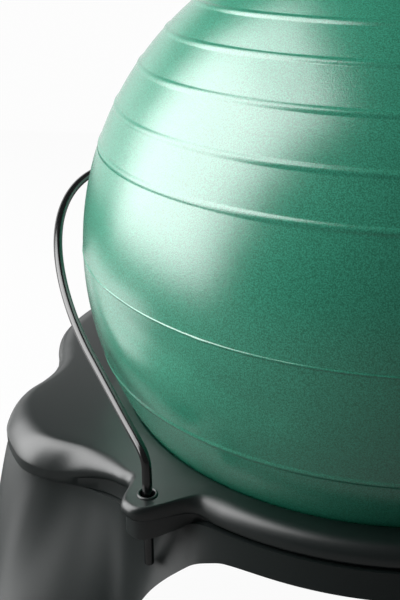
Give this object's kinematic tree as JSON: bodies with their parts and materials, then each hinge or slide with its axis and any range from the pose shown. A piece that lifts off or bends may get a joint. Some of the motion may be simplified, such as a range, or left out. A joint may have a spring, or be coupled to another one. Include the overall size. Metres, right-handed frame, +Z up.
{
  "type": "balance ball chair",
  "caption": "Ribbed exercise ball resting in a moulded seat ring on flared legs with twin-wheel casters, with a slim steel hoop round the back.",
  "frame": {"origin": "on the floor, under the middle of the object's bounding box", "axes": "+Z up, the front with the hoop's two ears faces -Y, +X to the right as seen from the front"},
  "size_m": [0.6636, 0.5546, 0.585],
  "materials": {
    "ball_vinyl": "pearly sea-green vinyl with a fine sparkle and a soft sheen",
    "plug": "off-white soft plastic",
    "base_plastic": "satin black moulded plastic with a very fine grain",
    "hoop_lacquer": "gloss black lacquer on a round steel bar",
    "zinc_steel": "zinc-plated steel",
    "caster_plastic": "black moulded nylon",
    "wheel_plastic": "black nylon wheel"
  },
  "bodies": {
    "base": {"seat_ring": "base_plastic", "leg_front_left": "base_plastic", "screw_front_left_1": "zinc_steel", "screw_front_left_2": "zinc_steel", "socket_front_left": "zinc_steel", "leg_front_right": "base_plastic", "screw_front_right_1": "zinc_steel", "screw_front_right_2": "zinc_steel", "socket_front_right": "zinc_steel", "leg_rear_left": "base_plastic", "screw_rear_left_1": "zinc_steel", "screw_rear_left_2": "zinc_steel", "socket_rear_left": "zinc_steel", "leg_rear_right": "base_plastic", "screw_rear_right_1": "zinc_steel", "screw_rear_right_2": "zinc_steel", "socket_rear_right": "zinc_steel"},
    "ball": {"ball": "ball_vinyl"},
    "valve_plug": {"valve_plug": "plug"},
    "hoop": {"hoop": "hoop_lacquer"},
    "caster_front_left": {"caster_stem_front_left": "zinc_steel", "caster_hood_front_left": "caster_plastic", "caster_axle_front_left": "zinc_steel"},
    "wheel_front_left_a": {"wheel_front_left_a": "wheel_plastic"},
    "wheel_front_left_b": {"wheel_front_left_b": "wheel_plastic"},
    "brake_front_left": {"brake_lever_front_left": "caster_plastic"},
    "caster_front_right": {"caster_stem_front_right": "zinc_steel", "caster_hood_front_right": "caster_plastic", "caster_axle_front_right": "zinc_steel"},
    "wheel_front_right_a": {"wheel_front_right_a": "wheel_plastic"},
    "wheel_front_right_b": {"wheel_front_right_b": "wheel_plastic"},
    "brake_front_right": {"brake_lever_front_right": "caster_plastic"},
    "caster_rear_left": {"caster_stem_rear_left": "zinc_steel", "caster_hood_rear_left": "caster_plastic", "caster_axle_rear_left": "zinc_steel"},
    "wheel_rear_left_a": {"wheel_rear_left_a": "wheel_plastic"},
    "wheel_rear_left_b": {"wheel_rear_left_b": "wheel_plastic"},
    "caster_rear_right": {"caster_stem_rear_right": "zinc_steel", "caster_hood_rear_right": "caster_plastic", "caster_axle_rear_right": "zinc_steel"},
    "wheel_rear_right_a": {"wheel_rear_right_a": "wheel_plastic"},
    "wheel_rear_right_b": {"wheel_rear_right_b": "wheel_plastic"}
  },
  "joints": [
    {"name": "ball_lift", "type": "slide", "parent": "base", "child": "ball", "axis": [0, 0, 1], "range_m": [0, 0.35]},
    {"name": "hoop_lift", "type": "slide", "parent": "base", "child": "hoop", "axis": [0, 0, 1], "range_m": [0, 0.07]},
    {"name": "plug_pull", "type": "slide", "parent": "ball", "child": "valve_plug", "axis": [0, 0, -1], "range_m": [0, 0.02]},
    {"name": "swivel_front_left", "type": "hinge", "parent": "base", "child": "caster_front_left", "pos_m": [-0.25, -0.19617, 0.0672], "axis": [0, 0, 1], "continuous": true},
    {"name": "roll_front_left_a", "type": "hinge", "parent": "caster_front_left", "child": "wheel_front_left_a", "pos_m": [-0.264, -0.21317, 0.025], "axis": [1, 0, 0], "continuous": true},
    {"name": "roll_front_left_b", "type": "hinge", "parent": "caster_front_left", "child": "wheel_front_left_b", "pos_m": [-0.236, -0.21317, 0.025], "axis": [1, 0, 0], "continuous": true},
    {"name": "brake_front_left", "type": "hinge", "parent": "caster_front_left", "child": "brake_front_left", "pos_m": [-0.25, -0.23939, 0.03667], "axis": [1, 0, 0], "range_deg": [0, 20]},
    {"name": "swivel_front_right", "type": "hinge", "parent": "base", "child": "caster_front_right", "pos_m": [0.25, -0.19617, 0.0672], "axis": [0, 0, 1], "continuous": true},
    {"name": "roll_front_right_a", "type": "hinge", "parent": "caster_front_right", "child": "wheel_front_right_a", "pos_m": [0.236, -0.21317, 0.025], "axis": [1, 0, 0], "continuous": true},
    {"name": "roll_front_right_b", "type": "hinge", "parent": "caster_front_right", "child": "wheel_front_right_b", "pos_m": [0.264, -0.21317, 0.025], "axis": [1, 0, 0], "continuous": true},
    {"name": "brake_front_right", "type": "hinge", "parent": "caster_front_right", "child": "brake_front_right", "pos_m": [0.25, -0.23939, 0.03667], "axis": [1, 0, 0], "range_deg": [0, 20]},
    {"name": "swivel_rear_left", "type": "hinge", "parent": "base", "child": "caster_rear_left", "pos_m": [-0.25, 0.16383, 0.0672], "axis": [0, 0, 1], "continuous": true},
    {"name": "roll_rear_left_a", "type": "hinge", "parent": "caster_rear_left", "child": "wheel_rear_left_a", "pos_m": [-0.236, 0.18083, 0.025], "axis": [1, 0, 0], "continuous": true},
    {"name": "roll_rear_left_b", "type": "hinge", "parent": "caster_rear_left", "child": "wheel_rear_left_b", "pos_m": [-0.264, 0.18083, 0.025], "axis": [1, 0, 0], "continuous": true},
    {"name": "swivel_rear_right", "type": "hinge", "parent": "base", "child": "caster_rear_right", "pos_m": [0.25, 0.16383, 0.0672], "axis": [0, 0, 1], "continuous": true},
    {"name": "roll_rear_right_a", "type": "hinge", "parent": "caster_rear_right", "child": "wheel_rear_right_a", "pos_m": [0.264, 0.18083, 0.025], "axis": [1, 0, 0], "continuous": true},
    {"name": "roll_rear_right_b", "type": "hinge", "parent": "caster_rear_right", "child": "wheel_rear_right_b", "pos_m": [0.236, 0.18083, 0.025], "axis": [1, 0, 0], "continuous": true}
  ]
}
